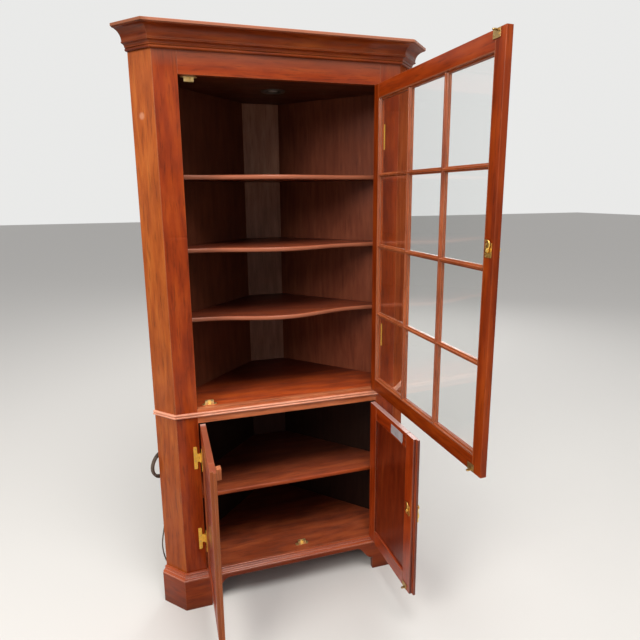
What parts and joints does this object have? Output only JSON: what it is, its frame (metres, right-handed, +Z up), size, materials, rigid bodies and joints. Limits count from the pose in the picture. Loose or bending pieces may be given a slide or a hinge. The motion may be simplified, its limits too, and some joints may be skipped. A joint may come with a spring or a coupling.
{
  "type": "corner cabinet",
  "caption": "Corner display cabinet with canted returns, a glazed upper door with a removable grille, panelled lower doors, shaped shelves, cornice, bracket plinth and built-in light.",
  "frame": {"origin": "centre of the rear panel's flat foot, on the floor", "axes": "+Z up, -Y out of the front face, +X to the right of someone who faces the cabinet"},
  "size_m": [1.0858, 1.194, 2.1],
  "materials": {
    "cherry": "satin varnish",
    "cherry_inner": "satin varnish",
    "cherry_light": "thin varnish",
    "veneer": "satin varnish",
    "brass": "polished",
    "glass": "clear",
    "bronze": "dark enamel",
    "cord": "smooth"
  },
  "bodies": {
    "cabinet": {"left_stile": "cherry", "right_stile": "cherry", "left_return": "cherry", "right_return": "cherry", "top_rail": "cherry", "waist_rail": "cherry", "upper_deck": "cherry", "lower_shelf": "cherry", "upper_shelf_top": "cherry", "upper_shelf_middle": "cherry", "upper_shelf_low": "cherry", "cornice": "cherry", "waist_moulding": "cherry", "base_moulding": "cherry", "plinth": "cherry", "left_back_board": "cherry_inner", "right_back_board": "cherry_inner", "lower_deck": "cherry_inner", "top_board": "cherry_inner", "rear_panel": "veneer", "light_can": "bronze", "cord_drop": "cord", "cord_coil": "cord", "cord_tail": "cord", "cord_plug": "cord", "top_catch": "brass", "upper_deck_catch": "brass", "lower_deck_catch": "brass", "glazed_low_hinge_frame_leaf": "brass", "glazed_high_hinge_frame_leaf": "brass", "right_low_hinge_frame_leaf": "brass", "right_high_hinge_frame_leaf": "brass", "left_low_hinge_frame_leaf": "brass", "left_high_hinge_frame_leaf": "brass"},
    "glazed_door": {"glazed_hinge_stile": "cherry", "glazed_latch_stile": "cherry", "glazed_top_rail": "cherry", "glazed_foot_rail": "cherry", "door_glass": "glass", "glazing_grille": "cherry", "glazed_low_hinge_door_leaf": "brass", "glazed_high_hinge_door_leaf": "brass", "glazed_top_strike": "brass", "glazed_foot_strike": "brass", "glazed_door_escutcheon": "brass", "glazed_door_latch_plate": "brass"},
    "glazed_turn": {"glazed_door_turn": "brass"},
    "right_door": {"right_door_frame": "cherry", "right_door_panel": "cherry", "right_low_hinge_door_leaf": "brass", "right_high_hinge_door_leaf": "brass", "right_door_strike": "brass", "right_door_escutcheon": "brass", "right_door_latch_plate": "brass"},
    "right_turn": {"right_door_turn": "brass"},
    "left_door": {"left_door_frame": "cherry", "left_door_panel": "cherry", "left_low_hinge_door_leaf": "brass", "left_high_hinge_door_leaf": "brass", "left_door_stop_block": "cherry_light"}
  },
  "joints": [
    {"name": "glazed_door_hinge", "type": "hinge", "parent": "cabinet", "child": "glazed_door", "pos_m": [0.349, -0.49227, 0], "axis": [0, 0, 1], "range_deg": [-93, 77]},
    {"name": "right_door_hinge", "type": "hinge", "parent": "cabinet", "child": "right_door", "pos_m": [0.349, -0.49227, 0], "axis": [0, 0, 1], "range_deg": [-93, 77]},
    {"name": "left_door_hinge", "type": "hinge", "parent": "cabinet", "child": "left_door", "pos_m": [-0.349, -0.49227, 0], "axis": [0, 0, -1], "range_deg": [-88.7, 81.3]},
    {"name": "glazed_latch_turn", "type": "hinge", "parent": "glazed_door", "child": "glazed_turn", "pos_m": [0.36995, -1.1691, 1.43399], "axis": [0.9986, 0.0523, 0], "range_deg": [0, 90]},
    {"name": "right_latch_turn", "type": "hinge", "parent": "right_door", "child": "right_turn", "pos_m": [0.35111, -0.8096, 0.47601], "axis": [0.9986, 0.0523, 0], "range_deg": [0, 90]}
  ]
}
